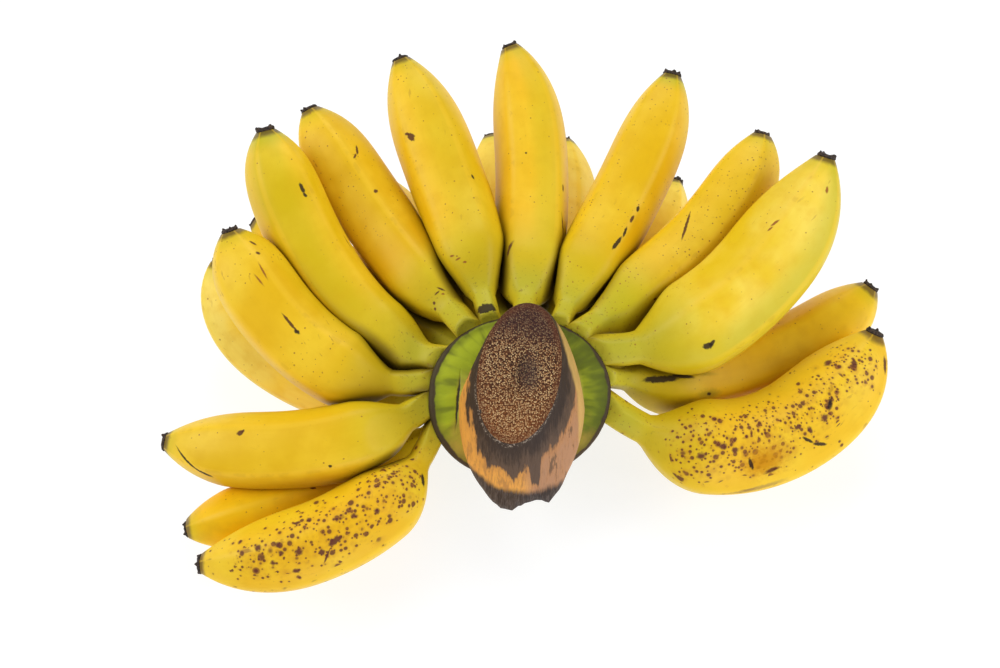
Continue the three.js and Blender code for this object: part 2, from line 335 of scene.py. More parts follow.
def bend(finger, spine):
    curve = spine_curve(spine)
    take(finger)
    modifier = finger.modifiers.new("bend", "CURVE")
    modifier.object, modifier.deform_axis = curve, "POS_Z"
    bpy.ops.object.modifier_apply(modifier=modifier.name)
    take(curve)
    bpy.ops.object.delete()


def soft_least(one, other):
    near = np.maximum(PRESS_SOFTNESS - np.abs(one - other), 0) / PRESS_SOFTNESS
    return np.minimum(one, other) - near * near * PRESS_SOFTNESS / 4


def tuck_under_crown(points):
    """Keeps the roots behind the crown's face, and lets the necks rise clear of its rim."""
    turn, place = np.array(HAND.to_3x3()), np.array(HAND.translation)
    local = (points - place) @ turn
    tall = RIM_HALF_HEIGHT * np.where(local[:, 1] > 0, CUSHION_TOP, 1)
    ring = np.hypot(local[:, 0] / RIM_HALF_WIDTH, local[:, 1] / tall)
    ceiling = TUCK_DEPTH + np.maximum(ring - TUCK_RING, 0) * TUCK_RISE
    local[:, 2] = np.minimum(local[:, 2], ceiling)
    return local @ turn.T + place


def at_each(along, spine, key):
    """The spine's middle line or course, as points or headings, at each length along it."""
    axes = spine[key].T
    return np.column_stack([np.interp(along, spine["along"], axis) for axis in axes])


def skin_places(points, along, spine):
    """Where each point of a bent finger lies on its peel: to the right of the side that faces out
    of the crown, towards that side, and along."""
    course = at_each(along, spine, "course")
    outward = OUT_OF_CROWN - course * (course @ OUT_OF_CROWN)[:, None]
    outward /= np.linalg.norm(outward, axis=1)[:, None]
    right = np.cross(course, outward)
    out = points - at_each(along, spine, "points")
    return np.column_stack([(out * right).sum(axis=1), (out * outward).sum(axis=1), along])


def ridge_shares(places, ridge):
    """How far out the peel stands, near 1: almost flat faces between soft ridges."""
    angle = np.arctan2(places[:, 0], places[:, 1]) - ridge
    faces = [math.tau * (face + 0.5) / RIDGES for face in range(RIDGES)]
    flats = [np.maximum(np.cos(angle - face), 0) for face in faces]
    polygon = sum(flat ** RIDGE_SHARPNESS for flat in flats) ** (-1 / RIDGE_SHARPNESS)
    return 1 + RIDGE_SHARE * (polygon / polygon.mean() - 1)


def press(points, places, spine, neighbours):
    """Gives a bent finger its ridges, and flattens it against its neighbours and on the table.
    Also tells how narrow the space beside each point is, from 0 in the open to 1 at a touch."""
    along = places[:, 2]
    middle = at_each(along, spine, "points")
    radius = np.interp(along, spine["along"], spine["radii"])
    out = (points - middle) * ridge_shares(places, spine["ridge"])[:, None]
    points = middle + out
    keep = np.ones(len(points))
    space = np.full(len(points), CREASE_WIDTH)
    for other in neighbours:
        away = points[:, None] - other["points"][None, ::SPINE_STRIDE]
        distances = np.linalg.norm(away, axis=2) - other["radii"][None, ::SPINE_STRIDE]
        space = np.minimum(space, distances.min(axis=1))
        nearest = distances.argmin(axis=1) * SPINE_STRIDE
        apart = other["points"][nearest] - middle
        distance = np.linalg.norm(apart, axis=1)
        plane = (distance ** 2 + radius ** 2 - other["radii"][nearest] ** 2) / 2
        plane -= distance * PRESS_GAP / 2
        reach = (out * apart).sum(axis=1)
        touches = (plane > 0) & (reach > 0) & (along > 0)
        allowed = np.where(touches, plane / np.where(touches, reach, 1), OPEN)
        keep = soft_least(keep, allowed)
    points = tuck_under_crown(middle + out * keep[:, None])
    points[:, 2] = np.maximum(points[:, 2], 0)
    return points, 1 - np.maximum(space, 0) / CREASE_WIDTH


def note(piece, name, kind, field, values):
    """Keeps a value at every point of a piece, for its material to read."""
    kept = piece.data.attributes.new(name, kind, "POINT")
    kept.data.foreach_set(field, values.ravel())


def grow_finger(name, spine, neighbours):
    """One whole peel: the straight tube sized, bent along its spine and pressed."""
    finger = copy_of(straight_finger, "peel_" + name)
    size_finger(finger, spine)
    along = points_of(finger)[:, 2].copy()
    bend(finger, spine)
    places = skin_places(points_of(finger), along, spine)
    points, crease = press(points_of(finger), places, spine, neighbours)
    note(finger, "skin", "FLOAT_VECTOR", "vector", places)
    note(finger, "crease", "FLOAT", "value", crease)
    put_points(finger, points)
    take(finger)
    bpy.ops.object.shade_smooth()
    return finger


# ---- dried blossom ends ------------------------------------------------------
TIP_RADIUS, TIP_HEIGHT = 3.7 * MM, 1.5 * MM
TIP_SIDES = 24
# (height, radius) as shares, from inside the peel over the edge to the sunken middle
TIP_PROFILE = [
    (-0.6, 0.9), (0, 1.02), (0.35, 1.08), (0.7, 1.02), (0.95, 0.9), (1.05, 0.7), (0.8, 0.5),
    (0.7, 0.25),
]
TIP_ROUGHNESS = 0.25 * MM
TIP_SIZES = (0.9, 1.1)
SHREDS = 5  # withered bits of the flower that stand up from the edge
SHRED_BELT = (0.55, 1.1)  # heights that they rise from, as shares
SHRED_OUTSIDE = 0.6  # and how far out, as a share
SHRED_SPREAD = 0.965  # cosine of half the width of one
SHRED_LEAN, SHRED_RISE = 0.5, Vector((0, 0, 0.5))  # how far out it may lean, and how it rises
SHRED_STEPS, SHRED_SHRINKS = (0.2, 0.7), (0.6, 0.5)  # how long a step is, and how narrow it ends


def pull_shred(tip, chance):
    """Draws one shred up out of the faces on one side of the edge."""
    angle = chance.uniform(0, math.tau)
    toward = Vector((math.cos(angle), math.sin(angle), 0))
    open_mesh()
    bpy.ops.mesh.select_mode(type="FACE")
    shape = bmesh.from_edit_mesh(tip.data)
    low, high = (share * TIP_HEIGHT for share in SHRED_BELT)
    for face in shape.faces:
        middle = face.calc_center_median()
        wide = Vector((middle.x, middle.y, 0))
        outer = low < middle.z < high and wide.length > TIP_RADIUS * SHRED_OUTSIDE
        face.select = outer and wide.normalized().dot(toward) > SHRED_SPREAD
    bmesh.update_edit_mesh(tip.data)
    lean = toward * chance.uniform(0, SHRED_LEAN)
    for shrink in SHRED_SHRINKS:
        step = (lean + SHRED_RISE) * TIP_HEIGHT * chance.uniform(*SHRED_STEPS)
        bpy.ops.mesh.extrude_region_move(TRANSFORM_OT_translate={"value": step})
        bpy.ops.transform.resize(value=(shrink, shrink, shrink))
    bpy.ops.mesh.select_mode(type="VERT")
    close_mesh()


def model_dry_tip(seed):
    """A withered stub with a sunken middle and a ragged edge, up +Z."""
    sizes = [(high * TIP_HEIGHT, wide * TIP_RADIUS) for high, wide in TIP_PROFILE]
    rings = [(height, radius, radius, 0) for height, radius in sizes]
    tip = draw_closed("dry_tip", TIP_SIDES, rings)
    chance = random.Random(seed)
    for _ in range(SHREDS):
        pull_shred(tip, chance)
    open_mesh()
    put_in_order(tip)
    roughen(TIP_ROUGHNESS, seed)
    close_mesh()
    return tip


def set_tip(name, spine, master, chance):
    """Sets a copy of a dried tip on the end of its finger."""
    tip = copy_of(master, "dried_" + name)
    end = Vector(spine["points"][-1])
    along = (end - Vector(spine["points"][-3])).normalized()
    turn = along.to_track_quat("Z", "Y").to_matrix().to_4x4()
    size = Matrix.Scale(chance.uniform(*TIP_SIZES), 4)
    spin = Matrix.Rotation(chance.uniform(0, math.tau), 4, "Z")
    tip.data.transform(Matrix.Translation(end) @ turn @ spin @ size)
    take(tip)
    bpy.ops.object.shade_flat()
    return tip


# ---- crown -------------------------------------------------------------------
CUSHION_SIDES = 120
CUSHION_RINGS = [  # W, half width, half height, from the hidden back to the green face, in mm
    (-34, 9, 8), (-33, 15, 13.5), (-31, 20, 18), (-27, 26, 23.5), (-23, 30, 27), (-17, 34, 31.5),
    (-12, 36.5, 34), (-7, 38.2, 35.8), (-4.5, 38.8, 36.3), (-3, 39, 36.5), (-1.2, 39.2, 36.7),
    (0.2, 39, 36.5), (1.1, 38.2, 35.7), (1.2, 37.2, 34.7), (1.5, 36, 33.5), (2.8, 32, 29.6),
    (4, 27, 24.8), (5, 18, 16.6),
]
CUSHION_BULGE = 0.13  # twice the share by which its lower left stands out
CUSHION_ROUGHNESS = 0.12 * MM
STUB_SIDES = 96
# Rings of the stub: W, lowest V, highest V, half width, middle U in mm, lean in degrees, and how
# much of its half width a ring loses towards its top on the left and on the right.
STUB_RINGS = [
    (-9, -42, 30, 20, 0.7, 2, 0.5, 0.2),
    (-5, -45.5, 33, 24, 0.7, 3, 0.5, 0.2),
    (-2, -47, 34, 25.2, 0.7, 3, 0.5, 0.2),
    (3, -48.5, 36, 26.4, 0.7, 3, 0.5, 0.2),
    (7, -49, 37, 26.8, 0.7, 3, 0.5, 0.2),
    (11, -46.5, 37.5, 26.4, 0.6, 4, 0.48, 0.2),
    (15, -42.5, 38, 25.4, 0.3, 5, 0.42, 0.18),
    (20, -36.5, 38, 23.6, 0, 6, 0.34, 0.16),
    (25, -30, 38, 21.2, -0.2, 8, 0.2, 0.1),
    (29, -24.5, 38, 18.8, -0.6, 9, 0.08, 0.04),
    (32, -20.4, 38, 17, -0.7, 10, 0, 0),
    (33, -19.4, 37.7, 16.4, -0.7, 10, 0, 0),
]
CUT_RINGS = (0.96, 0.9, 0.82, 0.74, 0.66, 0.58, 0.5, 0.42, 0.34, 0.26, 0.18, 0.1)
CUT_LEVEL = 32.4 * MM  # W above which the stub's faces belong to the cut
CUT_SKIN, CUT_ROUGHNESS = 0.1 * MM, 0.35 * MM
TORN_BELOW, TORN_BEHIND = -36 * MM, 14 * MM  # V below which, and W behind which, the end is torn
RAGGED_BELOW, RAGGED_REACH = -42 * MM, 0.9 * MM
LOBES = [(-8 * MM, 1.8 * MM), (14 * MM, 2.2 * MM), (3 * MM, -1.6 * MM)]  # U of each, and its reach
LOBE_WIDTH, LOBE_SPREAD = 3 * MM, 7 * MM


def swell_cushion(points):
    """The crown stands out further at its lower left."""
    far = np.hypot(points[:, 0], points[:, 1])
    corner = np.maximum(-points[:, 0], 0) * np.maximum(-points[:, 1], 0) / np.maximum(far, MM) ** 2
    return points * (1 + corner[:, None] * CUSHION_BULGE * np.array([1, 1, 0]))


def model_cushion():
    rings = [(w * MM, a * MM, b * MM, 0) for w, a, b in CUSHION_RINGS]
    cushion = draw_closed("crown_cushion", CUSHION_SIDES, rings)
    open_mesh()
    pick(lambda co: co.y > 0)
    bpy.ops.transform.resize(value=(1, CUSHION_TOP, 1), center_override=(0, 0, 0))
    bpy.ops.mesh.select_all(action="SELECT")
    roughen(CUSHION_ROUGHNESS, seed=3)
    close_mesh()
    put_points(cushion, swell_cushion(points_of(cushion)))
    cushion.data.transform(HAND)
    take(cushion)
    bpy.ops.object.shade_smooth()
    return cushion


def shape_stub(points):
    """Turns the stub's even rings into the lopsided, leaning ones of the real stalk."""
    at, low, high, _, side, lean, left, right = np.array(STUB_RINGS).T
    width = points[:, 2] / MM
    middle, half = (high + low) / 2 * MM, (high - low) / 2 * MM
    up = (points[:, 1] - np.interp(width, at, middle)) / np.interp(width, at, half)
    loss = np.where(points[:, 0] < 0, np.interp(width, at, left), np.interp(width, at, right))
    across = points[:, 0] * (1 - loss * np.maximum(up, 0))
    above = points[:, 1] - np.interp(width, at, middle)
    turn = np.radians(np.interp(width, at, lean))
    return np.column_stack([
        across * np.cos(turn) + above * np.sin(turn) + np.interp(width, at, side) * MM,
        above * np.cos(turn) - across * np.sin(turn) + points[:, 1] - above,
        points[:, 2],
    ])


def tear_end():
    """Gives the stub's lower end lobes and a ragged edge."""
    def at_end(co, below):
        return co.y < below and co.z < TORN_BEHIND

    for across, reach in LOBES:
        pick(lambda co: at_end(co, TORN_BELOW) and abs(co.x - across) < LOBE_WIDTH)
        bpy.ops.transform.translate(
            value=(0, -reach, 0), use_proportional_edit=True,
            proportional_edit_falloff="SMOOTH", proportional_size=LOBE_SPREAD,
        )
    pick(lambda co: at_end(co, RAGGED_BELOW))
    roughen(RAGGED_REACH, seed=5)


def model_stub():
    rings = [
        (depth * MM, wide * MM, (high - low) / 2 * MM, (high + low) / 2 * MM)
        for depth, low, high, wide, *_ in STUB_RINGS
    ]
    depth, wide, tall, middle = rings[-1]
    rings += [(depth, wide * share, tall * share, middle) for share in CUT_RINGS]
    stub = draw_closed("crown_stub", STUB_SIDES, rings)
    put_points(stub, shape_stub(points_of(stub)))
    take(stub)
    open_mesh()
    tear_end()
    pick(lambda co: co.z > depth - CUT_SKIN)
    roughen(CUT_ROUGHNESS, seed=7)
    close_mesh()
    stub.data.transform(HAND)
    bpy.ops.object.shade_smooth()
    return stub


# ---- materials ---------------------------------------------------------------
def srgb(red, green, blue):
    """A colour of 0 to 255 as a shader takes it."""
    share = [channel / 255 for channel in (red, green, blue)]
    linear = [c / 12.92 if c <= 0.04045 else ((c + 0.055) / 1.055) ** 2.4 for c in share]
    return (*linear, 1)


class Number:
    """A value in a material. Arithmetic on it adds Math nodes."""

    def __init__(self, paint, socket):
        self.paint, self.socket = paint, socket

    def math(self, operation, *values, clamp=False):
        settings = {"operation": operation, "use_clamp": clamp}
        node = self.paint.node("ShaderNodeMath", settings, dict(enumerate(values)))
        return Number(self.paint, node.outputs[0])

    def __add__(self, other):
        return self.math("ADD", self, other)

    def __sub__(self, other):
        return self.math("SUBTRACT", self, other)

    def __mul__(self, other):
        return self.math("MULTIPLY", self, other)

    def __truediv__(self, other):
        return self.math("DIVIDE", self, other)

    def __rsub__(self, other):
        return self.math("SUBTRACT", other, self)

    __radd__, __rmul__ = __add__, __mul__

    def __abs__(self):
        return self.math("ABSOLUTE", self)

    def most(self, other):
        return self.math("MAXIMUM", self, other)

    def clamped(self):
        return self.math("ADD", self, 0, clamp=True)

    def step(self, start, end):
        """0 below start and 1 above end, smooth between. The two may be given in falling order."""
        sockets = {"Value": self, "From Min": start, "From Max": end}
        node = self.paint.node("ShaderNodeMapRange", {"interpolation_type": "SMOOTHSTEP"}, sockets)
        return Number(self.paint, node.outputs[0])


class Paint:
    """One material, built node by node."""

    def __init__(self, name):
        self.material = bpy.data.materials.new(name)
        self.material.use_nodes = True
        self.tree = self.material.node_tree
        self.tree.nodes.clear()
        self.colour = None  # what the coats make so far

    def node(self, kind, settings, sockets):
        made = self.tree.nodes.new(kind)
        for key, value in settings.items():
            setattr(made, key, value)
        for key, value in sockets.items():
            if isinstance(value, Number):
                value = value.socket
            if isinstance(value, bpy.types.NodeSocket):
                self.tree.links.new(value, made.inputs[key])
            else:
                made.inputs[key].default_value = value
        return made

    def place(self):
        return self.node("ShaderNodeTexCoord", {}, {}).outputs["Object"]

    def attribute(self, name, output="Vector"):
        return self.node("ShaderNodeAttribute", {"attribute_name": name}, {}).outputs[output]

    def parts(self, vector):
        outputs = self.node("ShaderNodeSeparateXYZ", {}, {0: vector}).outputs
        return [Number(self, socket) for socket in outputs]

    def vector(self, *parts):
        return self.node("ShaderNodeCombineXYZ", {}, dict(enumerate(parts))).outputs[0]

    def move(self, vector, place=(0, 0, 0), turn=(0, 0, 0), size=(1, 1, 1)):
        """A vector seen from a frame with this place, turn and size."""
        sockets = {"Vector": vector, "Location": place, "Rotation": turn, "Scale": size}
        return self.node("ShaderNodeMapping", {"vector_type": "TEXTURE"}, sockets).outputs[0]

    def length(self, vector):
        node = self.node("ShaderNodeVectorMath", {"operation": "LENGTH"}, {0: vector})
        return Number(self, node.outputs["Value"])

    def shifted(self, vector, amount, by):
        """A vector moved by another one, scaled."""
        sockets = {0: by, 1: (amount,) * 3, 2: vector}
        node = self.node("ShaderNodeVectorMath", {"operation": "MULTIPLY_ADD"}, sockets)
        return node.outputs[0]

    def noise(self, vector, scale, detail=3.0, roughness=0.5):
        sockets = {"Vector": vector, "Scale": scale, "Detail": detail, "Roughness": roughness}
        return Number(self, self.node("ShaderNodeTexNoise", {}, sockets).outputs[0])

    def noise_vector(self, vector, scale, detail=2.0):
        """A wandering vector of -0.5 to 0.5."""
        sockets = {"Vector": vector, "Scale": scale, "Detail": detail}
        noise = self.node("ShaderNodeTexNoise", {}, sockets)
        sockets = {0: noise.outputs[1], 1: (0.5, 0.5, 0.5)}
        node = self.node("ShaderNodeVectorMath", {"operation": "SUBTRACT"}, sockets)
        return node.outputs[0]

    def cells(self, vector, scale, flat=False):
        """Distance to the middle of the nearest cell, and two random numbers of that cell."""
        settings = {"voronoi_dimensions": "2D" if flat else "3D"}
        node = self.node("ShaderNodeTexVoronoi", settings, {"Vector": vector, "Scale": scale})
        red, green, _ = self.parts(node.outputs["Color"])
        return Number(self, node.outputs["Distance"]), red, green

    def mix(self, factor, below, above):
        settings = {"data_type": "RGBA", "clamp_factor": True}
        return self.node("ShaderNodeMix", settings, {0: factor, 6: below, 7: above}).outputs[2]

    def coat(self, cover, colour):
        """Lays a colour over the coats that are there."""
        self.colour = self.mix(cover, self.colour, colour)

    def finish(self, roughness, height, bump, gloss):
        """Makes one surface of the coats, a roughness, and a relief of this strength and depth."""
        strength, depth = bump
        sockets = {"Strength": strength, "Distance": depth, "Height": height}
        relief = self.node("ShaderNodeBump", {}, sockets)
        sockets = {"Base Color": self.colour, "Roughness": roughness, "Normal": relief.outputs[0]}
        self.shade({**sockets, "Specular IOR Level": gloss})
        return self.material

    def shade(self, sockets):
        shader = self.node("ShaderNodeBsdfPrincipled", {}, sockets)
        self.node("ShaderNodeOutputMaterial", {}, {"Surface": shader.outputs[0]})


YELLOW = srgb(236, 184, 18)
PALE_YELLOW = srgb(246, 202, 46)
DEEP_YELLOW = srgb(222, 168, 6)
GREEN = srgb(184, 178, 26)
NECK_GREEN, NECK_GRIME = srgb(186, 180, 50), srgb(120, 92, 34)
FLANK_SHADE_YELLOW = srgb(222, 190, 12)
OLIVE_SHADE = srgb(186, 156, 8)
CREVICE_SHADE = srgb(84, 66, 16)
TIP_EDGE = srgb(84, 60, 34)
SCUFF = srgb(120, 74, 30)
FRECKLE = srgb(92, 42, 34)
FRECKLE_HALO = srgb(196, 130, 30)
TONES = {
    "black": srgb(40, 26, 22), "brown": srgb(88, 46, 28), "purple": srgb(94, 46, 38),
    "rust": srgb(150, 84, 34), "gold": srgb(200, 134, 0), "grey": srgb(150, 118, 74),
    "olive": srgb(150, 132, 30),
}
FAINT_TONES, FAINT, STRONG = ("gold", "grey", "olive"), 0.6, 0.94  # how much a tone covers
# Single marks on each finger's peel: (x, y) in the camera's view, length, width in mm, turn in
# degrees from the view's right, tone, softness from 0 to 1.
MARKS = {
    "front_01": [
        ((335, 541), 6.5, 3.0, 35, "purple", 0.3),
        ((327, 556), 7, 0.9, 70, "purple", 0.4),
        ((423, 480), 6, 1.8, 82, "black", 0.4),
        ((309, 520), 2.6, 2.4, 0, "purple", 0.6),
        ((258, 548), 3.2, 3, 0, "purple", 0.7),
        ((299, 552), 3.2, 3, 0, "purple", 0.7),
        ((240, 542), 2.2, 2, 0, "purple", 0.7),
        ((278, 545), 2.6, 2.4, 0, "purple", 0.7),
        ((281, 553), 2.4, 2.2, 0, "purple", 0.7),
        ((322, 552), 2.8, 2.6, 0, "purple", 0.5),
        ((354, 516), 2.6, 2.4, 0, "purple", 0.7),
        ((377, 511), 2.6, 2.4, 0, "purple", 0.7),
        ((297, 523), 3.2, 2, 10, "purple", 0.5),
        ((296, 571), 3, 2.2, 0, "purple", 0.6),
        ((273, 563), 2.6, 2.0, 0, "purple", 0.6),
    ],
    "front_02": [
        ((240, 433), 3.2, 2.2, 10, "brown", 0.3),
        ((243, 431), 1.8, 1.2, 60, "brown", 0.3),
        ((330, 466), 1.5, 1.3, 0, "black", 0.3),
        ((190, 464), 24, 1.1, -31, "black", 0.3),
        ((206, 474), 7, 1.5, -22, "black", 0.3),
    ],
    "front_03": [
        ((253, 243), 3.6, 1.6, -38, "brown", 0.4),
        ((258, 253), 2.2, 1.5, 0, "brown", 0.5),
        ((290, 323), 11, 1.3, -50, "brown", 0.3),
        ((297, 332), 3, 1.7, -30, "black", 0.4),
        ((263, 271), 8, 0.9, -62, "rust", 0.8),
        ((259, 280), 6, 0.8, -50, "rust", 0.9),
    ],
    "front_04": [
        ((302, 188), 5.0, 1.9, -62, "black", 0.3),
        ((305, 195), 2.6, 1.5, -40, "black", 0.3),
        ((363, 232), 7, 0.8, -52, "brown", 0.4),
    ],
    "front_05": [
        ((357, 150), 5.5, 1.3, 74, "brown", 0.3),
        ((355, 156), 3.4, 1.1, 60, "brown", 0.4),
        ((376, 191), 2.2, 2.0, 0, "brown", 0.3),
        ((441, 289), 4, 0.9, -20, "brown", 0.6),
        ((437, 293), 3, 0.8, 40, "brown", 0.6),
        ((443, 294), 1.6, 0.9, 0, "rust", 0.6),
        ((434, 303), 1.5, 1.5, 0, "purple", 0.4),
        ((435, 309), 1.3, 1.5, 0, "purple", 0.4),
    ],
    "front_06": [
        ((411, 137), 4.4, 3.2, -40, "brown", 0.2),
        ((407, 134), 2.4, 1.4, 0, "brown", 0.4),
        ((473, 177), 2.6, 1.3, -60, "black", 0.3),
        ((486, 308), 9.5, 5.6, 2, "black", 0.1),
        ((452, 256), 2.2, 1.0, 10, "rust", 0.6),
        ((458, 259), 2.6, 0.9, 30, "rust", 0.6),
        ((465, 262), 1.8, 1.0, 0, "rust", 0.6),
    ],
    "front_07": [
        ((563, 230), 15, 1.8, 84, "brown", 0.6),
        ((509, 249), 8, 1.6, 82, "brown", 0.6),
        ((563, 188), 3.4, 1.8, 60, "brown", 0.6),
        ((526, 153), 1.0, 1.0, 0, "black", 0.3),
    ],
    "front_08": [
        ((617, 243), 8.5, 1.9, 47, "black", 0.2),
        ((625, 232), 5.5, 1.4, 62, "black", 0.3),
        ((632, 219), 4, 1.6, 55, "brown", 0.3),
        ((638, 209), 2.8, 1.7, 70, "black", 0.3),
    ],
    "front_09": [
        ((686, 226), 15, 1.4, 81, "brown", 0.3),
        ((655, 299), 1.7, 1.5, 0, "brown", 0.4),
    ],
    "front_10": [
        ((708, 346), 4.6, 3.0, 10, "black", 0.25),
        ((712, 343), 3.4, 2.0, 50, "black", 0.25),
        ((775, 223), 4.6, 1.2, 35, "rust", 0.4),
        ((770, 229), 3, 1.0, 35, "rust", 0.5),
        ((827, 190), 3.4, 1.4, 75, "rust", 0.6),
    ],
    "front_11": [
        ((661, 379), 17, 3.2, 6, "black", 0.2),
        ((682, 376), 12, 2.2, 3, "black", 0.4),
        ((700, 373), 14, 2, 6, "olive", 1.0),
        ((709, 394), 11, 4.4, 0, "olive", 1.0),
        ((709, 394), 2.2, 1.6, 0, "black", 0.5),
    ],
    "front_12": [
        ((768, 459), 24, 15, 20, "gold", 0.9),
        ((762, 463), 15, 9, 10, "gold", 0.9),
        ((808, 440), 6, 1.5, -28, "black", 0.25),
        ((820, 444), 7, 1.7, -8, "black", 0.25),
        ((751, 464), 6.0, 1.9, -66, "black", 0.25),
        ((755, 489), 28, 3.0, 12, "grey", 0.6),
        ((828, 363), 3.8, 3.4, 0, "purple", 0.6),
        ((830, 404), 6, 2.2, 80, "black", 0.5),
        ((723, 446), 3.4, 3.0, 0, "purple", 0.7),
        ((701, 456), 3.8, 3.0, 20, "purple", 0.7),
        ((735, 450), 3.0, 2.6, 20, "purple", 0.6),
        ((798, 427), 3.4, 2.2, 30, "purple", 0.4),
        ((810, 430), 2.2, 3.4, 30, "purple", 0.5),
        ((825, 418), 3.6, 3.4, 30, "purple", 0.7),
        ((854, 363), 2.6, 2.8, 0, "purple", 0.5),
        ((885, 365), 8, 2.2, 82, "brown", 0.5),
        ((772, 470), 7, 2.2, 20, "brown", 0.6),
    ],
    "back_01": [((313, 488), 3, 1.1, 5, "brown", 0.4)],
}
# Where freckles crowd: (x, y) in the view, length, width in mm, turn in degrees.
CROWDS = {
    "front_01": [
        ((330, 535), 64, 26, 24), ((395, 490), 32, 26, 40), ((262, 560), 34, 18, 5),
    ],
    "front_12": [
        ((705, 450), 34, 32, 60), ((765, 440), 50, 32, 15), ((820, 405), 32, 24, 40),
        ((852, 365), 26, 26, 60),
    ],
}
MARK_DEPTH, CROWD_DEPTH = 5 * MM, 30 * MM  # how far into the peel they reach
MARK_RAGGED = 0.6
FRECKLES_EVERYWHERE = 0.05
FRECKLE_SIZES = [(5.2, 0.85, 0.42), (3.2, 1.0, 0.46), (2.0, 1.0, 0.44)]  # cell in mm, share, size


def sight(pixel):
    """The line of sight through a point of the view: where it starts, and its heading."""
    focal = LENS / SENSOR * VIEW_WIDTH
    across = (pixel[0] - VIEW_WIDTH / 2) / focal
    up = (VIEW_HEIGHT / 2 - pixel[1]) / focal
    view = camera.matrix_world
    return view.translation, (view.to_3x3() @ Vector((across, up, -1))).normalized()


def on_peel(finger, pixel):
    """The point of a finger's peel that shows at a point of the view, and its normal."""
    start, toward = sight(pixel)
    hit, point, normal, _ = finger.ray_cast(start, toward)
    if not hit:
        middle = Vector(points_of(finger).mean(axis=0))
        near = start + toward * (middle - start).dot(toward)
        _, point, normal, _ = finger.closest_point_on_mesh(near)
    return point, normal


def patch_on_peel(paint, place, finger, pixel, length, width, turn, depth):
    """A point's distance from the middle of an ellipse laid on the peel, 1 at its edge."""
    point, normal = on_peel(finger, pixel)
    turn = math.radians(turn)
    along = camera.matrix_world.to_3x3() @ Vector((math.cos(turn), math.sin(turn), 0))
    along = (along - normal * along.dot(normal)).normalized()
    axes = Matrix((along, normal.cross(along), normal)).transposed()
    size = (length / 2 * MM, width / 2 * MM, depth)
    return paint.length(paint.move(place, point, axes.to_euler(), size))


def mark_mask(paint, place, wobble, finger, pixel, length, width, turn, softness):
    """How much a single mark covers a point: an ellipse with an uneven edge."""
    uneven = paint.shifted(place, min(length, width) * MARK_RAGGED * MM, wobble)
    inside = patch_on_peel(paint, uneven, finger, pixel, length, width, turn, MARK_DEPTH)
    return inside.step(1.02 + 0.5 * softness, 0.86 - 0.6 * softness)


def freckles(paint, skin, cell, density, largest):
    """Round dots and their halos. cell is their spacing in mm, density the share of cells that have
    one, and largest the size of the largest as a share of a cell."""
    distance, chance, size = paint.cells(skin, 1 / (cell * MM))
    there = (chance + density).step(1, 1.02)
    reach = distance / (size * largest * 0.6 + largest * 0.4)
    return reach.step(1.0, 0.6) * there, reach.step(2.0, 0.7) * there


def crowding(paint, place, name, finger):
    """How thickly freckles stand, from a few everywhere to many in the crowded places."""
    crowd = FRECKLES_EVERYWHERE
    for patch in CROWDS[name]:
        reach = patch_on_peel(paint, place, finger, *patch, CROWD_DEPTH)
        crowd = reach.step(1.25, 0.5).most(crowd)
    return crowd


FLECK_CELL, FLECK_SIZE = 1.8, 0.3  # cell in mm, share of it
SCRATCH_TURN = (0.3, 0.25, 0)  # fine scratches run this much askew of the finger
# Where each look of the peel comes in or goes out, as shares of a finger's length.
GREEN_IN, BODY_IN, SCRATCH_IN = (0.1, 0.4), (0.2, 0.4), (0.15, 0.3)
NECK_OUT, NECK_GREEN_OUT, NECK_GRIME_OUT = (0.42, 0.14), (0.17, 0.05), (0.22, 0.06)
CREASE_OUT, CREVICE_OUT = (1, 0.5), (0.42, 0.12)
TIP_IN, TIP_EDGE_IN = (0.93, 0.99), (0.975, 0.992)
PEEL_RELIEF, PEEL_GLOSS = (0.12, 0.6 * MM), 0.22


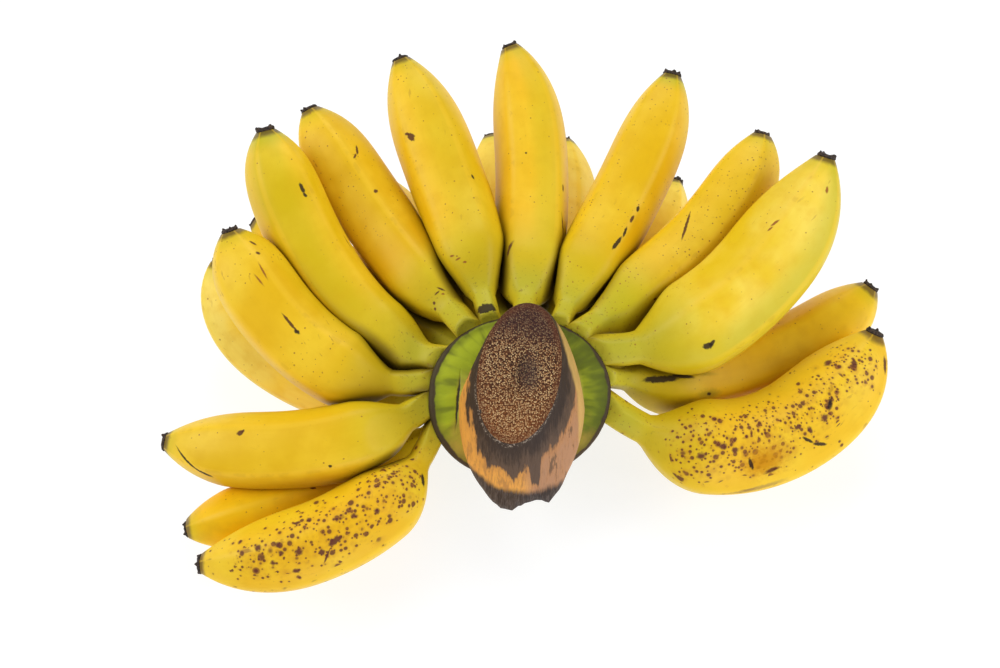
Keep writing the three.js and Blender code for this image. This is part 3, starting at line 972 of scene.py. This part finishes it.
def peel_paint(name, finger, spine, look):
    """Banana skin: yellow, green at the neck, with fibres, scuffed ridges, flecks and marks,
    painted shade in creases, crevices and on the flanks, and a painted highlight along the ridges.
    """
    paint = Paint("peel_" + name)
    place = paint.place()
    skin = paint.attribute("skin")
    right, outward, along = paint.parts(skin)
    along = along / spine["length"]
    turn = right.math("ARCTAN2", right, outward)
    skin = paint.move(skin, look["seed"])
    broad, fine = paint.noise(skin, 30), paint.noise(skin, 150, 4)
    fibre = paint.noise(paint.move(skin, size=(1, 1, 14)), 420, 4, 0.6)

    paint.colour = paint.mix(broad.step(0.36, 0.64), look["body"], look["light"])
    paint.coat(fine.step(0.4, 0.75) * 0.3, DEEP_YELLOW)
    paint.coat(fibre.step(0.45, 0.75) * 0.12, DEEP_YELLOW)
    side = turn - math.radians(look["green_side"])
    side = side.math("COSINE", side)
    green = side.step(look["green_from"], 1) * along.step(*GREEN_IN) * (broad * 0.8 + 0.6)
    paint.coat(green.clamped() * look["green"], GREEN)
    green = along.step(*NECK_OUT) + (broad - 0.5) * 0.5
    paint.coat(green.clamped() * look["neck"], GREEN)
    paint.coat(along.step(*NECK_GREEN_OUT) * 0.8, NECK_GREEN)
    # Painted shade: the sides that face the neighbouring fingers are painted a darker, greener
    # yellow.
    flank_shade = turn.math("SINE", turn)
    paint.coat((flank_shade * flank_shade).step(0.2, 1) * look["flank_shade"], FLANK_SHADE_YELLOW)
    crease = Number(paint, paint.attribute("crease", "Fac"))
    # Painted shade: where a neighbour lies close, the peel is painted olive.
    paint.coat(crease.step(0.5, 1) * along.step(*CREASE_OUT) * look["crease"], OLIVE_SHADE)
    # Painted shade: the narrowest gaps between fingers near the crown are painted dark.
    crevice_shade = (crease + (broad - 0.5) * 0.4).step(0.6, 0.98) * along.step(*CREVICE_OUT)
    paint.coat(crevice_shade * look["crevice_shade"], CREVICE_SHADE)
    paint.coat(along.step(*TIP_IN) * look["tip"], GREEN)
    paint.coat((along + (fine - 0.5) * 0.02).step(*TIP_EDGE_IN) * 0.8, TIP_EDGE)

    # Painted highlight: the ridges are painted a paler yellow.
    ridge = turn.math("COSINE", (turn - spine["ridge"]) * RIDGES)
    lit = ridge.step(0.86, 1) * along.step(*BODY_IN) * (broad + 0.3)
    paint.coat(lit.clamped() * look["ridges"], PALE_YELLOW)
    worn = (ridge + (fine - 0.5) * 0.1).step(0.955, 0.995) * fine.step(0.55, 0.66)
    paint.coat(worn * along.step(*BODY_IN) * look["scuffs"], SCUFF)
    fleck, _ = freckles(paint, skin, FLECK_CELL, look["flecks"], FLECK_SIZE)
    paint.coat(fleck * broad.step(0.35, 0.55) * 0.75, TONES["rust"])
    grime = paint.noise(skin, 650, 3, 0.6).step(0.6, 0.68) * along.step(*NECK_GRIME_OUT)
    paint.coat(grime * 0.5, NECK_GRIME)
    scratch = paint.noise(paint.move(skin, turn=SCRATCH_TURN, size=(1, 1, 5)), 520, 3, 0.6)
    scratch = scratch.step(0.66, 0.72) * broad.step(0.45, 0.6) * along.step(*SCRATCH_IN)
    paint.coat(scratch * look["scratches"], TONES["rust"])

    rough = paint.noise(skin, 300) * 0.14 + 0.38
    if look["freckled"]:
        crowd = crowding(paint, place, name, finger)
        for cell, share, largest in FRECKLE_SIZES:
            dot, halo = freckles(paint, skin, cell, crowd * share, largest)
            paint.coat(halo * 0.3, FRECKLE_HALO)
            paint.coat(dot * 0.88, FRECKLE)
            rough = rough + dot * 0.1
    wobble = paint.noise_vector(place, 800, 4)
    for pixel, length, width, lean, tone, softness in MARKS.get(name, ()):
        mask = mark_mask(paint, place, wobble, finger, pixel, length, width, lean, softness)
        paint.coat(mask * (FAINT if tone in FAINT_TONES else STRONG), TONES[tone])
        rough = rough + mask * 0.2
    height = fibre * 0.4 + paint.noise(skin, 900, 2) * 0.4 + fine * 0.6
    return paint.finish(rough.clamped(), height, PEEL_RELIEF, PEEL_GLOSS)


DRY_DARK, DRY_PALE = srgb(28, 20, 16), srgb(96, 74, 58)
DRY_RELIEF, DRY_GLOSS = (0.6, 1 * MM), 0.5


def dry_paint():
    paint = Paint("dried_blossom")
    grain = paint.noise(paint.place(), 900, 5, 0.7)
    paint.colour = paint.mix(grain.step(0.4, 0.75), DRY_DARK, DRY_PALE)
    return paint.finish(grain * 0.2 + 0.7, grain, DRY_RELIEF, DRY_GLOSS)


def hand_place(paint):
    """A point's place in the hand's frame in metres, and its U, V and W."""
    seen = paint.move(paint.place(), HAND.translation, HAND.to_euler())
    return (seen, *paint.parts(seen))


CHAR, CHAR_GREY, CHAR_BROWN = srgb(40, 34, 33), srgb(82, 72, 68), srgb(98, 78, 64)
CROWN_GREEN, CROWN_BRIGHT = srgb(152, 166, 22), srgb(184, 196, 30)
CROWN_SHADE, CROWN_DEEP = srgb(98, 110, 14), srgb(80, 88, 20)
CROWN_TAN, CROWN_PALE = srgb(182, 152, 62), srgb(196, 190, 84)
RIM_BROWN, RIM_SIDE = srgb(62, 44, 36), srgb(150, 134, 62)
CRACK_PLACE, CRACK_TURN = (-26.6 * MM, -4 * MM, 3 * MM), math.radians(-5)
CRACK_SIZE = (0.6 * MM, 11.5 * MM, 8 * MM)
STRIP_MIDDLE, STRIP_SIZE = (0, -4 * MM, 0), (28 * MM, 44 * MM, 1)
# Where looks of the crown begin and are full, along U, V or W.
STRIP_BELOW, TAN_BELOW = (12 * MM, 2 * MM), (-10 * MM, -26 * MM)
SHADE_RIGHT, LIT_CORNER = (-24 * MM, 20 * MM), (26 * MM, 42 * MM)
SIDE_BEHIND, DEEP_BEHIND = (-0.5 * MM, -3 * MM), (-10 * MM, -28 * MM)
WORN_RIM = (0.95, 0.972)  # the rim's brown edge starts here, as shares of its size,
RIM_WIDE_LEFT, RIM_THIN_TOP = (-18 * MM, -36 * MM), (-10 * MM, 10 * MM)  # wider or thinner here,
RIM_BACK = (-3 * MM, -1.4 * MM)  # and ends this far back
CUSHION_RELIEF, CUSHION_GLOSS = (0.35, 1.4 * MM), 0.25


def cushion_paint():
    """The crown's green face with painted shade towards its right and painted light on its upper
    left corner, its dark rim and its pale sides.
    """
    paint = Paint("crown_cushion")
    seen, across, up, out = hand_place(paint)
    wander, edge = paint.noise(seen, 120, 3), paint.noise(seen, 260, 3)
    high = up.step(0, 1 * MM) * (1 - CUSHION_TOP)
    tall = (1 - high) * RIM_HALF_HEIGHT
    far = paint.length(paint.vector(across, up, 0))
    corner = (0 - across).most(0) * (0 - up).most(0) / (far * far)
    radius = paint.length(paint.vector(across / RIM_HALF_WIDTH, up / tall, 0))
    radius = radius / (corner * CUSHION_BULGE + 1)
    turn = across.math("ARCTAN2", across, up)
    rays = paint.noise(paint.vector(turn * 2, radius * 0.7, 0), 3.2, 2, 0.5)

    # Painted shade: the face is darker towards its right. Painted light: its upper left corner is
    # brighter.
    shade = (across + (wander - 0.5) * 20 * MM).step(*SHADE_RIGHT)
    paint.colour = paint.mix(shade, CROWN_GREEN, CROWN_SHADE)
    paint.coat((up - across * 0.8).step(*LIT_CORNER) * 0.8, CROWN_BRIGHT)
    paint.coat(rays.step(0.52, 0.3) * 0.6, CROWN_DEEP)
    paint.coat(rays.step(0.48, 0.75) * 0.45, CROWN_BRIGHT)
    paint.coat((up + (wander - 0.5) * 24 * MM).step(*TAN_BELOW) * 0.85, CROWN_TAN)
    strip = paint.length(paint.move(seen, STRIP_MIDDLE, size=STRIP_SIZE))
    paint.coat(strip.step(1.0, 0.92) * up.step(*STRIP_BELOW) * 0.6, CROWN_PALE)
    paint.coat((radius + (wander - 0.5) * 0.2).step(0.84, 0.97) * 0.5, CROWN_DEEP)
    ragged = paint.shifted(seen, 2 * MM, paint.noise_vector(seen, 200))
    crack = paint.length(paint.move(ragged, CRACK_PLACE, (0, 0, CRACK_TURN), CRACK_SIZE))
    paint.coat(crack.step(1.2, 0.6) * 0.95, CHAR)

    side = paint.mix(wander.step(0.4, 0.65), CROWN_PALE, RIM_SIDE)
    paint.coat(out.step(*SIDE_BEHIND), side)
    wide = across.step(*RIM_WIDE_LEFT) * 0.025
    thin = (up - abs(across) * 0.6).step(*RIM_THIN_TOP) * 0.02
    rim = (radius + wide - thin + (edge - 0.5) * 0.05).step(*WORN_RIM) * out.step(*RIM_BACK)
    paint.coat(rim * 0.92, RIM_BROWN)
    paint.coat(out.step(*DEEP_BEHIND) * 0.7, CROWN_DEEP)
    height = rays * 0.8 + edge * 0.4 - crack.step(1.4, 0.6)
    return paint.finish(wander * 0.15 + 0.5, height, CUSHION_RELIEF, CUSHION_GLOSS)


TAN_ORANGE, TAN_BROWN = srgb(232, 164, 72), srgb(186, 126, 66)
TAN_PINK, TAN_PALE = srgb(176, 130, 96), srgb(214, 176, 102)
PINK_RIGHT = (-2 * MM, 9 * MM)
RING_PALE, RING_PLACE, RING_EDGE = srgb(186, 168, 150), 1.07, (0.034, 0.008)  # shares of the cut
CUT_MIDDLE, CUT_LEAN = (-0.7 * MM, 9.2 * MM, 33 * MM), math.radians(-10)
CUT_SIZE = (16.4 * MM, 28.5 * MM, 1)
TONGUE_AT, TONGUE_WIDTH = 6.2 * MM, (2.6 * MM, 1.2 * MM)  # where char runs down to the torn end
PALE_EDGE = (23.1 * MM, 24.5 * MM)  # a pale strip down the right side starts this far out,
PALE_LEAN, PALE_LEAN_LOW = 0.3, 0.05  # leaning in above the rim's middle and less below it,
PALE_END = (-34 * MM, -24 * MM)  # and ends at these heights
TORN_GREY = (-40 * MM, -43.5 * MM)  # the grey of the torn end comes in over these heights,
TORN_ROUND, TORN_MIDDLE = 18, 2 * MM  # and higher up to both sides of this middle
SKIN_RELIEF, SKIN_GLOSS = (0.6, 1.5 * MM), 0.25


def round_the_cut(paint, seen):
    """A point's place round the cut face: across, up, and how far out, 1 at the cut's edge."""
    place = paint.move(seen, CUT_MIDDLE, (0, 0, CUT_LEAN), CUT_SIZE)
    across, up, _ = paint.parts(place)
    far = paint.length(paint.vector(across, up, 0))
    return across, up, far


def skin_paint():
    """The stalk's skin: charred round the cut, tan below, grey-black at the torn end."""
    paint = Paint("crown_skin")
    seen, across, up, _ = hand_place(paint)
    run = paint.noise(paint.move(seen, size=(1, 6, 6)), 520, 4, 0.65)
    tongue = paint.noise(paint.move(seen, size=(1, 3, 3)), 150, 3, 0.6)
    hair = paint.noise(paint.move(seen, size=(1, 8, 8)), 1500, 3, 0.6)
    broad = paint.noise(seen, 70, 3)

    right = (across + (broad - 0.5) * 12 * MM).step(*PINK_RIGHT)
    paint.colour = paint.mix(right, TAN_ORANGE, TAN_PINK)
    paint.coat(run.step(0.45, 0.7) * 0.6, TAN_BROWN)
    paint.coat(hair.step(0.5, 0.8) * 0.35, CHAR_BROWN)
    paint.coat(run.step(0.54, 0.64) * (right * 0.6 + 0.2), CHAR_BROWN)

    cut_across, cut_up, far = round_the_cut(paint, seen)
    sideways, upwards = cut_across / far, cut_up / far
    limit = sideways.step(-0.9, 0.1) * 0.28 - upwards.step(0, 0.6) * 0.22 + 1.26
    spill = abs(across - TONGUE_AT).step(*TONGUE_WIDTH) * upwards.step(-0.3, -0.7)
    limit = limit + spill * 0.35
    ragged = (run - 0.5) * 0.4 + (tongue - 0.5) * 0.6
    brown = (far + (hair - 0.5) * 0.6 + ragged).step(1.15, 1.5) * 0.75
    dark = paint.mix(brown, CHAR, CHAR_BROWN)
    dark = paint.mix(hair.step(0.5, 0.8) * 0.4, dark, CHAR_GREY)
    past = far + ragged - limit
    paint.coat(past.step(0.16, 0) * 0.45, TAN_BROWN)
    paint.coat(past.step(0.05, -0.03) * 0.96, dark)

    lean = up.most(0) * (PALE_LEAN - PALE_LEAN_LOW) + up * PALE_LEAN_LOW
    edge = (across + lean + (run - 0.5) * 1.5 * MM).step(*PALE_EDGE) * up.step(*PALE_END)
    paint.coat(edge * 0.75, TAN_PALE)
    ring = abs(far - RING_PLACE + (run - 0.5) * 0.12).step(*RING_EDGE)
    dashes = paint.noise(seen, 1300, 3).step(0.5, 0.62) * upwards.step(0, -0.5)
    paint.coat(ring * dashes * 0.65, RING_PALE)
    beside = across - TORN_MIDDLE
    reach = up - beside * beside * TORN_ROUND
    end = (reach + (run - 0.5) * 5 * MM + (tongue - 0.5) * 5 * MM).step(*TORN_GREY)
    ash = paint.mix(hair.step(0.4, 0.7), CHAR, CHAR_GREY)
    paint.coat(end * 0.96, ash)
    return paint.finish(run * 0.2 + 0.6, run * 0.6 + hair * 0.4, SKIN_RELIEF, SKIN_GLOSS)


PITH_DARK, PITH, PITH_LOW = srgb(58, 34, 24), srgb(110, 68, 40), srgb(150, 90, 44)
FIBRE, FIBRE_PALE = srgb(184, 132, 84), srgb(238, 204, 150)
CUT_TOP, CUT_HEART, CUT_EDGE = srgb(66, 42, 40), srgb(70, 56, 52), srgb(104, 58, 34)
FIBRE_CELL = 0.72  # mm between fibre ends
HEART_PLACE, HEART_SIZE = (3 * MM, 9 * MM, 33 * MM), (7 * MM, 10 * MM, 9 * MM)
CUT_RELIEF, CUT_GLOSS = (0.9, 1.2 * MM), 0.2


def cut_paint():
    """The cut face: brown pith packed with pale fibre ends."""
    paint = Paint("crown_cut")
    seen, *_ = hand_place(paint)
    broad = paint.noise(seen, 90, 4, 0.6)
    fine = paint.noise(seen, 700, 3, 0.6)
    _, cut_up, far = round_the_cut(paint, seen)
    distance, chance, size = paint.cells(seen, 1 / (FIBRE_CELL * MM), flat=True)
    paint.colour = paint.mix(fine.step(0.35, 0.65), PITH_DARK, PITH)
    paint.coat(cut_up.step(0.1, -0.9) * 0.6, PITH_LOW)
    fibre = paint.mix(size, FIBRE, FIBRE_PALE)
    packed = chance.step(0.15, 0.35) * (broad.step(0.3, 0.6) * 0.4 + 0.6)
    paint.coat(distance.step(0.5, 0.25) * packed * 0.9, fibre)
    paint.coat(distance.step(0.45, 0.75) * 0.6, PITH_DARK)
    paint.coat((cut_up + (broad - 0.5) * 0.6).step(0.25, 0.7) * 0.72, CUT_TOP)
    heart = paint.length(paint.move(seen, HEART_PLACE, size=HEART_SIZE))
    paint.coat((heart + (broad - 0.5) * 0.8).step(1.1, 0.3) * 0.6, CUT_HEART)
    paint.coat((far + (broad - 0.5) * 0.15).step(0.86, 0.98) * 0.5, CUT_EDGE)
    height = distance * -0.5 + broad + fine * 0.3
    return paint.finish(broad * 0.1 + 0.8, height, CUT_RELIEF, CUT_GLOSS)


# ---- looks of each finger ----------------------------------------------------
# How much of each thing a finger's peel shows, from 0 to 1: the amounts for creases, crevices and
# flanks are of painted shade, and that for ridges of a painted highlight. green_side is the middle
# of its green side, in degrees right of the side that faces out, and a higher green_from makes it
# narrower.
PLAIN_LOOK = {
    "body": YELLOW, "light": PALE_YELLOW, "neck": 0.55, "green": 0.1, "green_side": 0,
    "green_from": 0.6, "tip": 0.4, "flank_shade": 0.5, "crease": 0.45, "crevice_shade": 0.75, "flecks": 0.15,
    "scratches": 0.3, "scuffs": 0.1, "ridges": 0.4, "freckled": False,
}
PALE_LOOK = {"body": srgb(250, 210, 56), "light": srgb(253, 222, 92), "crease": 0.2}
FRECKLED_LOOK = {"freckled": True, "neck": 0.4, "scuffs": 0.6, "tip": 0.1}
OWN_LOOK = {
    "front_01": {**FRECKLED_LOOK, "body": srgb(240, 184, 28)},
    "front_02": {"body": srgb(230, 182, 20)},
    "front_03": {"body": srgb(234, 184, 22), "flecks": 0.3, "scratches": 0.5},
    "front_04": {
        "body": srgb(226, 184, 14), "green": 0.4, "green_side": -10, "neck": 0.5, "tip": 0.8,
    },
    "front_05": {"body": srgb(228, 178, 12), "flecks": 0.45, "scratches": 0.7},
    "front_06": {"body": srgb(234, 184, 16), "green": 0.25, "green_side": 30, "flecks": 0.25},
    "front_07": {"body": srgb(240, 190, 26), "green": 0.3, "green_side": 30, "green_from": 0.8},
    "front_08": {"body": srgb(234, 184, 14), "flecks": 0.55, "tip": 0.8, "crevice_shade": 0.5},
    "front_09": {"body": srgb(238, 192, 22), "flecks": 0.75, "neck": 0.8, "crevice_shade": 0.35},
    "front_10": {
        "body": srgb(238, 200, 38), "light": srgb(250, 220, 88), "green": 0.6, "green_side": 62,
        "green_from": 0.5, "neck": 0.7, "crevice_shade": 0.3,
    },
    "front_11": {
        "body": srgb(246, 198, 12), "light": srgb(252, 210, 40), "neck": 0.6, "crease": 0.1,
        "flank_shade": 0.2, "crevice_shade": 0.3,
    },
    "front_12": {**FRECKLED_LOOK, "neck": 0.5, "scuffs": 0.45, "body": srgb(242, 190, 30)},
    "back_01": {
        "body": srgb(255, 200, 8), "light": srgb(255, 206, 24), "flecks": 0.3, "crease": 0,
        "flank_shade": 0,
    },
    # back_02 is painted paler, standing in for light glowing through its peel.
    "back_02": {**PALE_LOOK, "body": srgb(252, 216, 64), "light": srgb(254, 226, 104)},
}
OWN_LOOK.update({"back_%02d" % number: PALE_LOOK for number in (4, 5, 6, 7)})
SEED_STEP = (0.37, 0.61)  # each finger's patterns are taken this much further along


def look_of(name, number):
    look = {**PLAIN_LOOK, **OWN_LOOK.get(name, {})}
    look["seed"] = (number * SEED_STEP[0], number * SEED_STEP[1], 0)
    return look


# ---- putting the hand together ----------------------------------------------
straight_finger = model_straight_finger()
spines = {name: spine_of(row, FRONT_ROOT) for name, row in FRONT_ROW.items()}
spines.update({name: spine_of(row, BACK_ROOT) for name, row in BACK_ROW.items()})
tip_masters = [model_dry_tip(seed) for seed in (1, 2, 3)]
dry = dry_paint()
chance = random.Random(20)

for number, (name, spine) in enumerate(spines.items()):
    neighbours = [other for key, other in spines.items() if key != name]
    finger = grow_finger(name, spine, neighbours)
    finger.data.materials.append(peel_paint(name, finger, spine, look_of(name, number)))
    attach(finger, "root")
    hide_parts("finger_" + name)
    "spotted_peel" if name in ("front_01", "front_12") else "peel"
    tip = set_tip(name, spine, tip_masters[number % len(tip_masters)], chance)
    tip.data.materials.append(dry)
    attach(tip, "root")
    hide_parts("tip_" + name)

for master in (straight_finger, *tip_masters):
    bpy.data.objects.remove(master)

cushion = model_cushion()
cushion.data.materials.append(cushion_paint())
stub = model_stub()
stub.data.materials.append(skin_paint())
stub.data.materials.append(cut_paint())
cut_normal = HAND.to_3x3() @ Vector((0, 0, 1))
cut_level = (HAND @ Vector((0, 0, CUT_LEVEL))).dot(cut_normal)
for face in stub.data.polygons:
    if face.center.dot(cut_normal) > cut_level:
        face.material_index = 1
for piece in (cushion, stub):
    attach(piece, "root")
    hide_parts("crown")


# ---- floor and light ---------------------------------------------------------
FLOOR_SIZE, FLOOR_DROP = 30, 0.2 * MM
WHITE = (1, 1, 1, 1)
FLOOR_LOOK = {
    "Base Color": (0.25, 0.26, 0.28, 1), "Roughness": 0.9, "Emission Color": WHITE,
    "Emission Strength": 0.8,
}
WORLD_STRENGTH = 0.26
SOFT_BOX_SIDE = 0.9
SOFT_BOXES = [  # place in the hand's frame in metres, watts
    ((-1.1, 0.4, 0.7), 10.2), ((0.0, 1.3, 0.4), 8),
    ((1.1, 0.1, 0.6), 8), ((0.35, -1.15, 0.6), 11.5),
]


def make_floor():
    deselect()
    bpy.ops.mesh.primitive_plane_add(size=FLOOR_SIZE, location=(0, 0, -FLOOR_DROP))
    floor = bpy.context.object
    floor.name = "floor"
    paint = Paint("floor")
    paint.shade(FLOOR_LOOK)
    floor.data.materials.append(paint.material)


def make_light():
    world = bpy.data.worlds.new("studio")
    bpy.context.scene.world = world
    world.use_nodes = True
    sky = world.node_tree.nodes["Background"].inputs
    sky["Color"].default_value = WHITE
    sky["Strength"].default_value = WORLD_STRENGTH
    for place, watts in SOFT_BOXES:
        lamp = bpy.data.lights.new("soft_box", "AREA")
        lamp.shape, lamp.size, lamp.energy = "SQUARE", SOFT_BOX_SIDE, watts
        box = bpy.data.objects.new("soft_box", lamp)
        bpy.context.collection.objects.link(box)
        place = HAND @ Vector(place)
        turn = (place - HAND.translation).to_track_quat("Z", "Y")
        box.matrix_world = Matrix.LocRotScale(place, turn, None)


make_floor()
make_light()
bpy.context.scene.view_settings.view_transform = "Standard"
